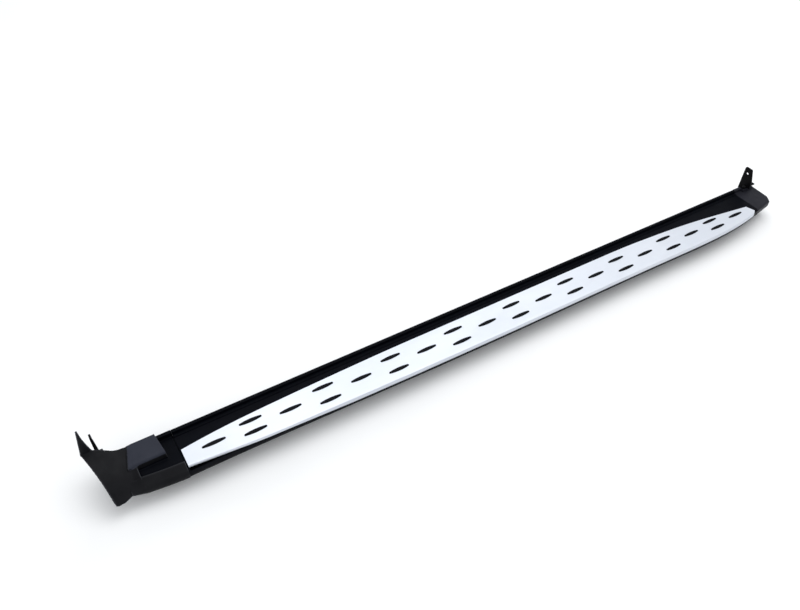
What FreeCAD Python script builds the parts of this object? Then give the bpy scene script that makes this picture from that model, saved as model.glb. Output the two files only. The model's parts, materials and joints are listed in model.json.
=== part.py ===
import FreeCAD, Part
import math
import os
import re
import Sketcher

# Running board for the right-hand sill of a car, in millimetres.
# Row frame: +X points to the front of the car, +Y inboard, +Z up.
# The origin is the middle of the two bolts of the middle bracket, on the face
# that pulls up against the underside of the sill.

SIZES = {
    # deck shell: the long black moulding
    "deck_length": 1675.0,
    "deck_width": 118.5,
    "edge_setback": 16.0,
    "tread_top": 37.0,
    "shell_depth": 32.0,
    "shell_wall": 3.0,
    "nose_radius": 18.0,
    "brow_radius": 4.0,
    "rim_width": 8.0,
    "rim_rise": 7.0,
    "rim_round": 1.5,
    "ledge_width": 8.0,
    "ledge_rise": 1.6,
    "rear_narrowing": 10.5,
    "bend_length": 180.0,
    "bend_narrowing": 22.5,
    "flange_width": 8.0,
    # tread plate
    "plate_sheet": 1.5,
    "plate_back": 29.0,
    "plate_rear_gap": 2.5,
    "plate_rear_step": 11.0,
    "plate_rear_width": 44.5,
    "plate_rear_taper": 545.0,
    "plate_front_taper": 500.0,
    "plate_tip_gap": 14.0,
    "plate_tip_front": 48.5,
    "plate_tip_width": 24.0,
    "lip_drop": 9.5,
    "lip_rear_drop": 5.0,
    "lip_taper_start": 215.0,
    "lip_taper_end": 365.0,
    "lip_bend": 4.0,
    "lip_gap": 0.3,
    # grip inserts
    "oval_long": 50.4,
    "oval_short": 9.4,
    "oval_tip": 5.0,
    "oval_first": 65.5,
    "oval_last": 79.5,
    "row_rear": -4.25,
    "row_front": 1.25,
    "row_turn": 5.5,
    "row_spread": 19.4,
    "row_end_spread": 14.8,
    "insert_proud": 0.8,
    "insert_flange": 2.6,
    "insert_flange_depth": 1.2,
    "insert_gap": 0.2,
    # weld studs under the tread plate, and their nuts
    "stud_radius": 2.0,
    "stud_length": 11.0,
    "stud_from_front": 28.5,
    "stud_from_oval": 42.5,
    "stud_gap": 0.4,
    "stud_nut_width": 7.0,
    "stud_nut_height": 3.2,
    # inner beam
    "beam_side_gap": 2.0,
    "beam_wall": 2.5,
    "beam_end_gap": 1.0,
    "beam_front_gap": 70.0,
    "beam_gap": 0.3,
    "plug_sheet": 2.0,
    "plug_length": 12.0,
    # lower cover
    "cover_sheet": 2.0,
    "cover_margin": 1.0,
    # brackets under the sill
    "bracket_end": 197.5,
    "bracket_width": 60.0,
    "bracket_sheet": 5.0,
    "bracket_past_beam": 26.0,
    "bracket_inboard": 14.0,
    "bracket_flange": 15.0,
    "bracket_flange_sheet": 4.0,
    "bolt_spacing": 34.0,
    "sill_bolt_spacing": 34.0,
    "bolt_radius": 4.0,
    "bolt_gap": 0.5,
    "slot_length": 17.0,
    "pad_sheet": 3.0,
    "pad_margin": 1.0,
    "head_width": 15.0,
    "head_height": 5.3,
    "washer_radius": 8.5,
    "washer_sheet": 1.6,
    "nut_width": 13.0,
    "nut_height": 8.0,
    "thread_end": 4.0,
    "thread_gap": 0.05,
    # sealing strip
    "seal_sheet": 4.0,
    "seal_height": 24.0,
    "seal_chamfer": 3.0,
    "seal_drop": 3.5,
    "seal_end_gap": 8.0,
    # bolts between the shell's end walls and the caps
    "end_bolt_back": 16.0,
    "end_bolt_in": 28.0,
    # front cap and its upright tab
    "cap_gap": 0.3,
    "cap_wall": 3.0,
    "front_cap_length": 76.0,
    "front_cap_end_back": 12.0,
    "front_cap_step": 44.5,
    "front_cap_chamfer": 5.0,
    "front_cap_depth": 28.0,
    "front_cap_nose": 9.0,
    "front_cap_back_corner": 4.0,
    "front_cap_lean": 3.0,
    "front_cap_corner_in": 10.0,
    "front_cap_corner_length": 9.0,
    "seat_width": 17.0,
    "seat_start": 28.0,
    "seat_length": 38.0,
    "seat_drop": 1.0,
    "tab_sheet": 3.0,
    "tab_place": 45.0,
    "tab_foot_start": 2.0,
    "tab_foot_length": 48.0,
    "tab_screw_before": 8.5,
    "tab_screw_after": 9.5,
    "tab_foot_width": 13.0,
    "tab_screw_back": 8.0,
    "tab_hook": 8.0,
    "tab_back": 14.0,
    "tab_front": 10.0,
    "tab_base": 20.0,
    "tab_rise": 64.0,
    "tab_waist": 29.0,
    "tab_corner": 5.0,
    "tab_hole_radius": 3.5,
    "tab_hole_back": 2.0,
    "tab_hole_rise": 46.0,
    # rear cap with its raised block, pocket, arch flap and fin
    "rear_cap_length": 97.0,
    "rear_cap_nose": 14.0,
    "pocket_edge_rise": 1.5,
    "lip_crest_joint": 32.5,
    "lip_crest_end": 43.0,
    "lip_slope_run": 20.0,
    "lip_slope_drop": 9.0,
    "rear_cap_sweep": 14.0,
    "rear_cap_side": 60.0,
    "pocket_drop": 4.0,
    "pocket_lip": 24.0,
    "pocket_corner": 10.0,
    "block_rise": 16.0,
    "block_slope": 4.0,
    "block_gap": 32.5,
    "block_length": 57.0,
    "block_from_front": 66.5,
    "block_round": 6.0,
    "block_front_in": 7.0,
    "block_joint_in": 6.0,
    "flap_sheet": 3.0,
    "flap_reach": 172.0,
    "flap_back": 7.0,
    "flap_top": 38.0,
    "flap_foot_front": 18.5,
    "flap_foot_drop": 20.0,
    "flap_foot_dip": 8.0,
    "flap_edge_run": 27.5,
    "flap_root_start": 84.0,
    "flap_root_run": 20.0,
    "flap_root_in": 7.0,
    "flap_root_rise": 13.0,
    "flap_root_drop": 16.0,
    "fin_rise": 107.0,
    "fin_width": 24.0,
    "fin_root": 4.0,
    # steel tab behind the arch flap
    "prong_place": 140.5,
    "prong_width": 16.0,
    "prong_sheet": 4.0,
    "prong_back": 24.0,
    "prong_rise": 66.0,
    "prong_root": 16.0,
    "prong_screw_drop": 8.0,
    "prong_screw_pitch": 12.0,
    "prong_gusset": 4.0,
    "prong_gusset_start": 12.0,
    "prong_hole_radius": 3.0,
    "prong_hole_drop": 10.0,
    "boss_length": 10.0,
    "boss_top": 9.0,
    "boss_rib_top": 24.0,
    "boss_rib_back": 4.0,
    "boss_bottom": 16.0,
    "boss_back": 24.0,
    "boss_front": 8.0,
    # small screws
    "screw_radius": 1.9,
    "screw_gap": 0.2,
    "screw_head_radius": 3.6,
    "screw_head_height": 2.0,
    "screw_length": 7.0,
    "cover_screw_end": 125.5,
    "cap_bolt_radius": 2.5,
    "cap_bolt_head_radius": 4.5,
    "cap_bolt_head_height": 3.0,
    "cap_nut_width": 8.0,
    "cap_nut_height": 4.0,
}

COVER_SCREWS_PER_SIDE = 9
STUDS = 9
CENTRE_OVALS = 10
PAIRED_OVALS = 9

document = FreeCAD.newDocument("running_board")
sheet = document.addObject("Spreadsheet::Sheet", "Sizes")
nodes = []


def fill_sheet():
    for row, (alias, size) in enumerate(SIZES.items(), start=1):
        sheet.set(f"A{row}", alias)
        sheet.set(f"B{row}", str(size))
        sheet.setAlias(f"B{row}", alias)
    document.recompute()


def cells(text):
    """The expression with each alias written as a cell of the sheet."""
    return re.sub(r"[a-z][a-z_]+", lambda m: "Sizes." + m[0] if m[0] in SIZES else m[0], str(text))


def value(text):
    return float(sheet.evalExpression(cells(text)))


def bind(thing, **expressions):
    for name, text in expressions.items():
        thing.setExpression(name, cells(text))


def keep(thing, label):
    thing.Label = label
    nodes.append(thing)
    return thing


# ---------------------------------------------------------------- sketches

def new_body(label):
    body = document.addObject("PartDesign::Body", "Body_" + label)
    return keep(body, label)


def new_sketch(body, name, role, level="0"):
    sketch = body.newObject("Sketcher::SketchObject", name)
    plane = next(item for item in body.Origin.OriginFeatures if item.Role == role)
    sketch.AttachmentSupport = [(plane, "")]
    sketch.MapMode = "FlatFace"
    sketch.setExpression(".AttachmentOffset.Base.z", cells(level))
    return sketch


def pin(sketch, geometry, end, place):
    """Hold one point of the sketch at a place given by two expressions."""
    for kind, text in zip(("DistanceX", "DistanceY"), place):
        row = sketch.addConstraint(Sketcher.Constraint(kind, -1, 1, geometry, end, value(text)))
        sketch.setExpression(f"Constraints[{row}]", cells(text))


def draw(sketch, path):
    """A closed outline. A place is (x, y); one marked "via" is a point that an arc passes through."""
    spots = [FreeCAD.Vector(value(place[0]), value(place[1]), 0) for place in path]
    corners = [index for index, place in enumerate(path) if len(place) == 2]
    runs = []
    for here, there in zip(corners, corners[1:] + corners[:1]):
        middle = (here + 1) % len(path)
        if middle == there:
            runs.append((sketch.addGeometry(Part.LineSegment(spots[here], spots[there]), False), 1, 2))
            continue
        arc = sketch.addGeometry(Part.Arc(spots[here], spots[middle], spots[there]), False)
        turn = (spots[middle] - spots[here]).cross(spots[there] - spots[here]).z
        runs.append((arc, 1, 2) if turn > 0 else (arc, 2, 1))
        guide = sketch.addGeometry(Part.Point(spots[middle]), True)
        sketch.addConstraint(Sketcher.Constraint("PointOnObject", guide, 1, arc))
        pin(sketch, guide, 1, path[middle][:2])
    for (run, _, end), (following, start, _) in zip(runs, runs[1:] + runs[:1]):
        sketch.addConstraint(Sketcher.Constraint("Coincident", run, end, following, start))
    for (run, start, _), corner in zip(runs, corners):
        pin(sketch, run, start, path[corner])


def draw_hole(sketch, place, radius):
    centre = FreeCAD.Vector(value(place[0]), value(place[1]), 0)
    circle = sketch.addGeometry(Part.Circle(centre, FreeCAD.Vector(0, 0, 1), value(radius)), False)
    pin(sketch, circle, 3, place)
    row = sketch.addConstraint(Sketcher.Constraint("Radius", circle, value(radius)))
    sketch.setExpression(f"Constraints[{row}]", cells(radius))


def slot_path(x, y, length, radius, along):
    """A slot's outline: along says whether its long way is the sketch's first or second axis."""
    half = f"({length})/2"
    run = f"({half}-({radius}))"
    marks = [(f"-{run}", f"-({radius})"), (run, f"-({radius})"), (half, "0", "via"),
             (run, radius), (f"-{run}", radius), (f"-({half})", "0", "via")]
    turned = [mark if along == "first" else (mark[1], mark[0]) + mark[2:] for mark in marks]
    return [(f"{x}+({mark[0]})", f"{y}+({mark[1]})") + mark[2:] for mark in turned]


def pad(body, name, sketch, length, midplane=False):
    feature = body.newObject("PartDesign::Pad", name)
    feature.Profile = sketch
    bind(feature, Length=length)
    feature.Midplane = midplane
    document.recompute()
    return feature


def pocket(body, name, sketch, length, reverse=False):
    """Cut the sketch's shape out of the body, and make sure that it did cut."""
    before = body.Shape.Volume
    feature = body.newObject("PartDesign::Pocket", name)
    feature.Profile = sketch
    feature.Reversed = reverse
    bind(feature, Length=length)
    document.recompute()
    if body.Shape.Volume > before - 0.1:
        raise RuntimeError(name + " cuts nothing")
    return feature


# ---------------------------------------------------------------- groups of small pieces

def cylinder(name, radius, height, place):
    thing = document.addObject("Part::Cylinder", name)
    bind(thing, Radius=radius, Height=height)
    put(thing, place)
    return thing


def hexagon(name, width, height, place):
    thing = document.addObject("Part::Prism", name)
    thing.Polygon = 6
    bind(thing, Circumradius=f"({width})/sqrt(3)", Height=height)
    put(thing, place)
    return thing


def block(name, length, width, height, place):
    """A box whose place is the middle of its lower face."""
    thing = document.addObject("Part::Box", name)
    bind(thing, Length=length, Width=width, Height=height)
    put(thing, (f"{place[0]}-({length})/2", f"{place[1]}-({width})/2", place[2]))
    return thing


def put(thing, place):
    for axis, text in zip("xyz", place):
        thing.setExpression(f".Placement.Base.{axis}", cells(text))


def joined(name, kind, first, second):
    thing = document.addObject(kind, name)
    thing.Base = first
    thing.Tool = second
    return thing


def group(label, pieces, placement=FreeCAD.Placement()):
    thing = document.addObject("Part::Compound", "Group_" + label)
    thing.Links = pieces
    thing.Placement = placement
    return keep(thing, label)


def headed(label, number, radius, length, head_radius, head_height, place, head_first=False):
    """A screw standing on local +Z, its head at the bottom, or at the top if head_first is true."""
    x, y, z = place
    head_level = f"{z}+({length})" if head_first else f"{z}-({head_height})"
    shank = cylinder(f"{label}_shank_{number}", radius, length, place)
    head = cylinder(f"{label}_head_{number}", head_radius, head_height, (x, y, head_level))
    return joined(f"{label}_{number}", "Part::Fuse", shank, head)


def nut(label, number, width, height, bore, place):
    body = hexagon(f"{label}_hex_{number}", width, height, place)
    hole = cylinder(f"{label}_bore_{number}", bore, height, place)
    return joined(f"{label}_{number}", "Part::Cut", body, hole)


ALONG_X = FreeCAD.Placement(FreeCAD.Vector(0, 0, 0), FreeCAD.Rotation(FreeCAD.Vector(0, 1, 0), 90))


def lying(x, y, z):
    """A row-frame place written for a group that is turned from +Z to +X."""
    return (f"-({z})", y, x)


# ---------------------------------------------------------------- shared places

REAR = "-deck_length/2"
FRONT = "deck_length/2"
BACK = "-edge_setback"
DECK = "(tread_top-plate_sheet)"
DECK_UNDER = "(tread_top-plate_sheet-shell_wall)"
SHELL_BOTTOM = "(tread_top-shell_depth)"
BEAM_TOP = "(tread_top-plate_sheet-shell_wall-beam_gap)"
MOUTH = "(nose_radius+cover_margin+flange_width)"
BEAM_BACK = "(nose_radius+cover_margin+flange_width+beam_side_gap)"
BEAM_WIDTH = "(deck_width-rear_narrowing-2*(nose_radius+cover_margin+flange_width+beam_side_gap))"
BEAM_MIDDLE = f"(-edge_setback-{BEAM_BACK}-{BEAM_WIDTH}/2)"
BEAM_REAR = "(nose_radius+cover_margin+flange_width+plug_sheet+beam_end_gap)"
COVER_BOTTOM = "(tread_top-shell_depth-cover_sheet)"
END_BOLT_LEVEL = "(tread_top-(plate_sheet+shell_depth)/2)"
CAP_UNDER = "(tread_top-plate_sheet-cap_wall)"
SEAT_TOP = "(tread_top+rim_rise-seat_drop)"
OVAL_PITCH = f"((deck_length-oval_first-oval_last)/{CENTRE_OVALS - 1})"
PLATE_MIDDLE = "((plate_back+deck_width)/2)"
PLATE_REAR_FRONT = "(deck_width-rear_narrowing-plate_rear_step)"
BOLT_HOLE = "(bolt_radius+bolt_gap)"
BRACKETS = {"rear": "-(deck_length/2-bracket_end)", "middle": "0", "front": "(deck_length/2-bracket_end)"}
LONG = 4000.0
PAST = 1.0
# How far in from a corner the middle of its round lies, as a share of the radius.
ROUND_MIDDLE = 1.0 - math.sqrt(0.5)


def vector(x, y, z=0.0):
    return FreeCAD.Vector(x, y, z)


def front_curve(inset=0.0):
    """The deck's front edge in plan, moved inboard by inset."""
    rear, front = value(REAR), value(FRONT)
    full = value("-edge_setback-deck_width") + inset
    length = front - rear
    rear_in, front_in = value("rear_narrowing"), value("bend_narrowing")
    bend = value("bend_length")
    spots = [
        (rear, rear_in),
        (rear + 0.11 * length, 0.9 * rear_in),
        (rear + 0.26 * length, 0.43 * rear_in),
        (0.0, 0.06 * rear_in),
        (front - 2 * bend, 0.0),
        (front - bend, 0.02 * front_in),
        (front - 0.5 * bend, 0.31 * front_in),
        (front, front_in),
    ]
    curve = Part.BSplineCurve()
    curve.interpolate([vector(x, full + narrowing) for x, narrowing in spots])
    return curve


def front_y(x, inset=0.0):
    crossing = Part.makeLine(vector(x, -LONG), vector(x, 0.0))
    return front_curve(inset).toShape().distToShape(crossing)[1][0][0].y


def box_between(low, high):
    size = high - low
    return Part.makeBox(size.x, size.y, size.z, low)


def prism(spots, bottom, top):
    """A block on a straight-sided plan."""
    ring = [vector(x, y, bottom) for x, y in spots]
    face = Part.Face(Part.makePolygon(ring + ring[:1]))
    return face.extrude(vector(0, 0, top - bottom))


def deck_prism(bottom, top, inset=0.0, end_inset=0.0, back_inset=0.0):
    """A block on the deck's plan, set in at the front, at the ends and at the back."""
    edge = front_curve(inset).toShape()
    rear, front, back = value(REAR), value(FRONT), value(BACK) - back_inset
    ends = [edge.Vertexes[0].Point, edge.Vertexes[-1].Point]
    sides = Part.makePolygon([ends[1], vector(front, back), vector(rear, back), ends[0]])
    face = Part.Face(Part.Wire([edge] + sides.Edges))
    face.translate(vector(0, 0, bottom))
    whole = face.extrude(vector(0, 0, top - bottom))
    if end_inset == 0.0:
        return whole
    keep_box = box_between(vector(rear + end_inset, -LONG, bottom), vector(front - end_inset, 0.0, top))
    return whole.common(keep_box)


def rounded(shape, radius, level, chosen):
    """Round the level edges at one height whose middle passes a test."""
    edges = []
    for edge in shape.Edges:
        box = edge.BoundBox
        if box.ZLength < 1e-6 and abs(box.ZMin - level) < 1e-6 and chosen(edge.BoundBox.Center, box):
            edges.append(edge)
    return shape.makeFillet(radius, edges)


def long_front(centre, box):
    return box.XLength > 0.1 * value("deck_length") and centre.y < value(f"{BACK}-deck_width/2")


def lip_front(centre, box):
    return box.XLength > 0.1 * value("deck_length") and centre.y < value(f"{BACK}-{PLATE_REAR_FRONT}")


def upright(radius, bottom, top, x, y):
    return Part.makeCylinder(radius, top - bottom, vector(x, y, bottom))


def crosswise(radius, start, stop, y, level):
    """A cylinder along X for a hole; its radius, y and level are expressions."""
    place = vector(start, value(y), value(level))
    return Part.makeCylinder(value(radius), stop - start, place, vector(1, 0, 0))


def feature(label, shape):
    thing = document.addObject("Part::Feature", "Shape_" + label)
    thing.Shape = shape.removeSplitter()
    thing.Placement = FreeCAD.Placement()
    return keep(thing, label)


# ---------------------------------------------------------------- where things repeat

def row_distance(step):
    """Distance of the ovals' centre line from the deck's back edge, by number of pitches."""
    turn_step = CENTRE_OVALS - 2.5
    drift = value("row_front-row_rear") * min(step / turn_step, 1.0)
    turned = value("row_turn") * max(step - turn_step, 0.0) / (CENTRE_OVALS - 1 - turn_step)
    return value(f"{PLATE_MIDDLE}+row_rear") + drift + turned


def oval_places():
    """Plan places of the ovals: a centre row, and pairs half a pitch further on."""
    first, pitch = value(f"{REAR}+oval_first"), value(OVAL_PITCH)
    places = []
    for step in range(CENTRE_OVALS):
        places.append((first + pitch * step, value(BACK) - row_distance(step)))
    for step in range(PAIRED_OVALS):
        spread = value("row_end_spread" if step in (0, PAIRED_OVALS - 1) else "row_spread")
        middle = value(BACK) - row_distance(step + 0.5)
        x = first + pitch * (step + 0.5)
        places += [(x, middle - spread), (x, middle + spread)]
    return places


def oval(x, y, bottom, top, grow=0.0):
    """An upright block on a pointed oval: two long arcs, joined by a small arc at each end."""
    half_long, half_short = value("oval_long") / 2 + grow, value("oval_short") / 2 + grow
    tip = value("oval_tip") / 2 + grow / 2
    shoulder = half_long - 0.8 * tip
    ring = [(shoulder, -tip), (half_long, 0), (shoulder, tip), (0, half_short),
            (-shoulder, tip), (-half_long, 0), (-shoulder, -tip), (0, -half_short)]
    spots = [vector(x + across, y + up, bottom) for across, up in ring]
    arcs = [Part.Arc(spots[first], spots[first + 1], spots[(first + 2) % 8]) for first in (0, 2, 4, 6)]
    face = Part.Face(Part.Wire([arc.toShape() for arc in arcs]))
    return face.extrude(vector(0, 0, top - bottom))


def stud_places():
    first, y = value(f"{REAR}+oval_first+stud_from_oval"), value(f"{BACK}-deck_width+stud_from_front")
    return [(first + value(OVAL_PITCH) * step, y) for step in range(STUDS)]


def cover_screw_places():
    """Places along the middle of the shell's back and front lower flanges."""
    inset = value("nose_radius+cover_margin+flange_width/2")
    pitch = value("deck_length-2*cover_screw_end") / (COVER_SCREWS_PER_SIDE - 1)
    places = []
    for step in range(COVER_SCREWS_PER_SIDE):
        x = value(f"{REAR}+cover_screw_end") + step * pitch
        places += [(x, value(BACK) - inset), (x, front_y(x, inset))]
    return places


def bracket_bolt_places():
    half = value("bolt_spacing/2")
    return [(value(x) + side * half, value(BEAM_MIDDLE)) for x in BRACKETS.values() for side in (-1, 1)]


def end_bolt_places():
    """Two bolts through each end wall of the shell: their y and z."""
    places = (f"{BACK}-end_bolt_back", f"{BACK}-deck_width+bend_narrowing+end_bolt_in")
    return [(y, END_BOLT_LEVEL) for y in places]


# ---------------------------------------------------------------- deck

def deck_shell():
    rear, front, back = value(REAR), value(FRONT), value(BACK)
    bottom, deck, under = value(SHELL_BOTTOM), value(DECK), value(DECK_UNDER)
    wall, nose = value("shell_wall"), value("nose_radius")
    shell = deck_prism(bottom, deck)
    shell = rounded(shell, nose, bottom, long_front)
    shell = rounded(shell, value("brow_radius"), deck, long_front)
    inside = deck_prism(bottom + wall, under, wall, wall, wall)
    inside = rounded(inside, nose - wall, bottom + wall, long_front)
    mouth_inset = value(MOUTH)
    mouth = deck_prism(bottom - 1.0, bottom + wall + 1.0, mouth_inset, mouth_inset, mouth_inset)
    shell = shell.cut(inside).cut(mouth)
    rim_top = value("tread_top+rim_rise")
    rim = box_between(vector(rear, back - value("rim_width"), deck), vector(front, back, rim_top))
    rim = rounded(rim, value("rim_round"), rim_top, lambda c, box: box.XLength > 10.0)
    ledge_back = back - value("rim_width")
    ledge_low = vector(rear, ledge_back - value("ledge_width"), deck)
    ledge = box_between(ledge_low, vector(front, ledge_back, deck + value("ledge_rise")))
    shell = shell.fuse([rim, ledge])
    tools = [lip_room()]
    flange = value("insert_flange+insert_gap")
    for x, y in oval_places():
        tools.append(oval(x, y, deck - value("insert_flange_depth"), deck + 1.0, flange))
    for x, y in stud_places():
        tools.append(upright(value("stud_radius+stud_gap"), under - 1.0, deck + 1.0, x, y))
    for x, y in cover_screw_places():
        tools.append(upright(value("screw_radius"), bottom - 1.0, bottom + wall + 1.0, x, y))
    for y, level in end_bolt_places():
        tools.append(crosswise("cap_bolt_radius+screw_gap", rear - 1.0, front + 1.0, y, level))
    return feature("deck_shell", shell.cut(tools))


def lip_edges(grow=0.0):
    """The outer face of the tread plate's front lip in plan, moved inboard by grow.

    It leaves the deck's front edge near the rear end, and follows it from there on.
    """
    start = value(f"{REAR}+plate_rear_gap")
    stand = value("plate_sheet+lip_gap") - grow
    rear_y = value(f"{BACK}-{PLATE_REAR_FRONT}") + grow
    join_x = start + value("lip_taper_start")
    follow = front_curve(-stand)
    first = follow.parameter(vector(join_x, front_y(join_x, -stand)))
    joint = follow.value(first)
    left = rear_y - front_y(start, -stand)
    middle_x = (start + joint.x) / 2
    taper = Part.BSplineCurve()
    taper.interpolate(
        Points=[vector(start, rear_y), vector(middle_x, front_y(middle_x, -stand) + 0.32 * left), joint],
        InitialTangent=vector(1.0, -0.075), FinalTangent=follow.tangent(first)[0])
    return [taper.toShape(), follow.toShape(first, follow.LastParameter)]


def lip_prism(bottom, top, grow):
    """Everything outboard of the lip's outer face, moved inboard by grow."""
    edges = lip_edges(grow)
    low = value(f"{BACK}-deck_width") - 40.0
    rear_end, front_end = edges[0].firstVertex().Point, edges[1].lastVertex().Point
    start, stop = value(REAR) - 20.0, value(FRONT) + 20.0
    ring = [front_end, vector(stop, front_end.y), vector(stop, low), vector(start, low),
            vector(start, rear_end.y), rear_end]
    face = Part.Face(Part.Wire(edges + Part.makePolygon(ring).Edges))
    face.translate(vector(0, 0, bottom))
    return face.extrude(vector(0, 0, top - bottom))


def below_lip(drop, rear_drop):
    """The space under the lip's lower edge, which rises towards the rear."""
    start = value(REAR)
    top = value("tread_top")
    profile = [
        (start - 30.0, -LONG / 10),
        (start - 30.0, top - rear_drop),
        (start + value("lip_taper_start"), top - rear_drop),
        (start + value("lip_taper_end"), top - drop),
        (value(FRONT) + 30.0, top - drop),
        (value(FRONT) + 30.0, -LONG / 10),
    ]
    ring = [vector(x, -LONG / 10, z) for x, z in profile]
    return Part.Face(Part.makePolygon(ring + ring[:1])).extrude(vector(0, LONG / 10, 0))


def lip_room():
    """The rebate in the shell that the lip lies in, where it leaves the deck's front edge."""
    gap, sheet_size, top = value("lip_gap"), value("plate_sheet"), value("tread_top") + 1.0
    space = lip_prism(0.0, top, sheet_size + gap)
    space = space.cut(below_lip(value("lip_drop") + gap, value("lip_rear_drop") + gap))
    bend = value("lip_bend")
    return space.fuse(lip_prism(value("tread_top") - bend - gap, top, bend + gap))


def plate_back_edges():
    """The tread plate's back edge in plan, from the front end to the rear end."""
    rear, front, back = value(f"{REAR}+plate_rear_gap"), value(f"{FRONT}-plate_tip_gap"), value(BACK)
    near = back - value("plate_back")
    rear_in = value(f"{PLATE_REAR_FRONT}-plate_rear_width-plate_back")
    tip_in = value("deck_width-plate_tip_front-plate_back")
    flat_start, flat_end = value(f"{REAR}+plate_rear_taper"), value(f"{FRONT}-plate_front_taper")
    shoulder = front - value("plate_tip_width") / 3
    rear_run, front_run = flat_start - rear, shoulder - flat_end
    rear_curve = Part.BSplineCurve()
    rear_curve.interpolate(
        Points=[vector(flat_start - share * rear_run, near - rear_in * depth)
                for share, depth in ((0.0, 0.0), (0.33, 0.12), (0.66, 0.35), (0.88, 0.68), (1.0, 1.0))],
        InitialTangent=vector(-1, 0), FinalTangent=vector(-1, -0.13))
    front_run_curve = Part.BSplineCurve()
    front_run_curve.interpolate(
        Points=[vector(flat_end + share * front_run, near - tip_in * depth)
                for share, depth in ((0.0, 0.0), (0.31, 0.12), (0.57, 0.34), (1.0, 1.0))],
        InitialTangent=vector(1, 0), FinalTangent=vector(1, -0.137))
    level = Part.makeLine(vector(flat_end, near), vector(flat_start, near))
    return front_run_curve.toShape(), level, rear_curve.toShape(), vector(shoulder, near - tip_in)


def plate_prism(bottom, top, grow):
    """A block on the tread plate's plan; grow thins it at the lip and runs it past the other edges."""
    over = 6.0 if grow else 0.0
    tip_x = value(f"{FRONT}-plate_tip_gap")
    stop = tip_x - value("plate_tip_width") / 2
    rear_lip, front_lip = lip_edges(grow)
    trim = box_between(vector(-LONG, -LONG, -1.0), vector(stop, LONG, 1.0))
    front_lip = front_lip.common(trim).Edges[0]
    rear_end = rear_lip.firstVertex().Point
    front_end = max([vertex.Point for vertex in front_lip.Vertexes], key=lambda spot: spot.x)
    if grow:
        back, start = value(BACK), rear_end.x - over
        past_tip, outboard = tip_x + over, value(f"{BACK}-deck_width") - over
        ring = [front_end, vector(stop, outboard), vector(past_tip, outboard), vector(past_tip, back),
                vector(start, back), vector(start, rear_end.y), rear_end]
        edges = Part.makePolygon(ring).Edges
    else:
        front_part, level, rear_part, shoulder = plate_back_edges()
        nose = vector(tip_x, shoulder.y - value("plate_tip_width"))
        rear_corner = vector(rear_end.x, value(f"{BACK}-{PLATE_REAR_FRONT}+plate_rear_width"))
        edges = Part.makePolygon([front_end, nose, shoulder]).Edges
        edges += [front_part, level, rear_part, Part.makeLine(rear_corner, rear_end)]
    face = Part.Face(Part.Wire(Part.__sortEdges__([rear_lip, front_lip] + edges)))
    face.translate(vector(0, 0, bottom))
    return face.extrude(vector(0, 0, top - bottom))


def tread_plate():
    top = value("tread_top")
    sheet_size = value("plate_sheet")
    low = top - value("lip_drop") - 2.0
    outer = rounded(plate_prism(low, top, 0.0), value("lip_bend"), top, lip_front)
    inner = plate_prism(low - 1.0, top - sheet_size, sheet_size)
    inner = rounded(inner, value("lip_bend") - sheet_size, top - sheet_size, lip_front)
    plate = outer.cut(inner).cut(below_lip(value("lip_drop"), value("lip_rear_drop")))
    plate = plate.cut([oval(x, y, low, top + 1.0, value("insert_gap")) for x, y in oval_places()])
    seat = top - sheet_size
    stud_end = seat - value("stud_length")
    studs = [upright(value("stud_radius"), stud_end, seat, x, y) for x, y in stud_places()]
    return feature("tread_plate", plate.fuse(studs))


def tread_nuts():
    top = value(DECK_UNDER)
    low = top - value("stud_nut_height")
    corner = value("stud_nut_width") / math.sqrt(3)
    turns = [turn * math.pi / 3 for turn in range(6)]
    nuts = []
    for x, y in stud_places():
        ring = [(x + corner * math.cos(turn), y + corner * math.sin(turn)) for turn in turns]
        bore = upright(value("stud_radius+thread_gap"), low - PAST, top, x, y)
        nuts.append(prism(ring, low, top).cut(bore))
    return feature("tread_nuts", Part.makeCompound(nuts))


def grip_inserts():
    deck = value(DECK)
    inserts = []
    for x, y in oval_places():
        flange = oval(x, y, deck - value("insert_flange_depth"), deck, value("insert_flange"))
        stud = oval(x, y, deck, value("tread_top+insert_proud"))
        inserts.append(flange.fuse(stud).removeSplitter())
    return feature("grip_inserts", Part.makeCompound(inserts))


def lower_cover():
    inset = value("nose_radius+cover_margin")
    cover = deck_prism(value(COVER_BOTTOM), value(SHELL_BOTTOM), inset, inset, inset)
    low, high = value(COVER_BOTTOM) - 1.0, value(SHELL_BOTTOM) + 1.0
    tools = [upright(value(BOLT_HOLE), low, high, x, y) for x, y in bracket_bolt_places()]
    tools += [upright(value("screw_radius+screw_gap"), low, high, x, y) for x, y in cover_screw_places()]
    return feature("lower_cover", cover.cut(tools))


def cover_screws():
    top = value(COVER_BOTTOM)
    screws = []
    for x, y in cover_screw_places():
        shank = upright(value("screw_radius"), top, top + value("screw_length"), x, y)
        head = upright(value("screw_head_radius"), top - value("screw_head_height"), top, x, y)
        head = head.makeFillet(value("screw_head_height") * 0.6, [head.Edges[2]])
        screws.append(shank.fuse(head))
    return feature("cover_screws", Part.makeCompound(screws))


# ---------------------------------------------------------------- beam and brackets

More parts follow.
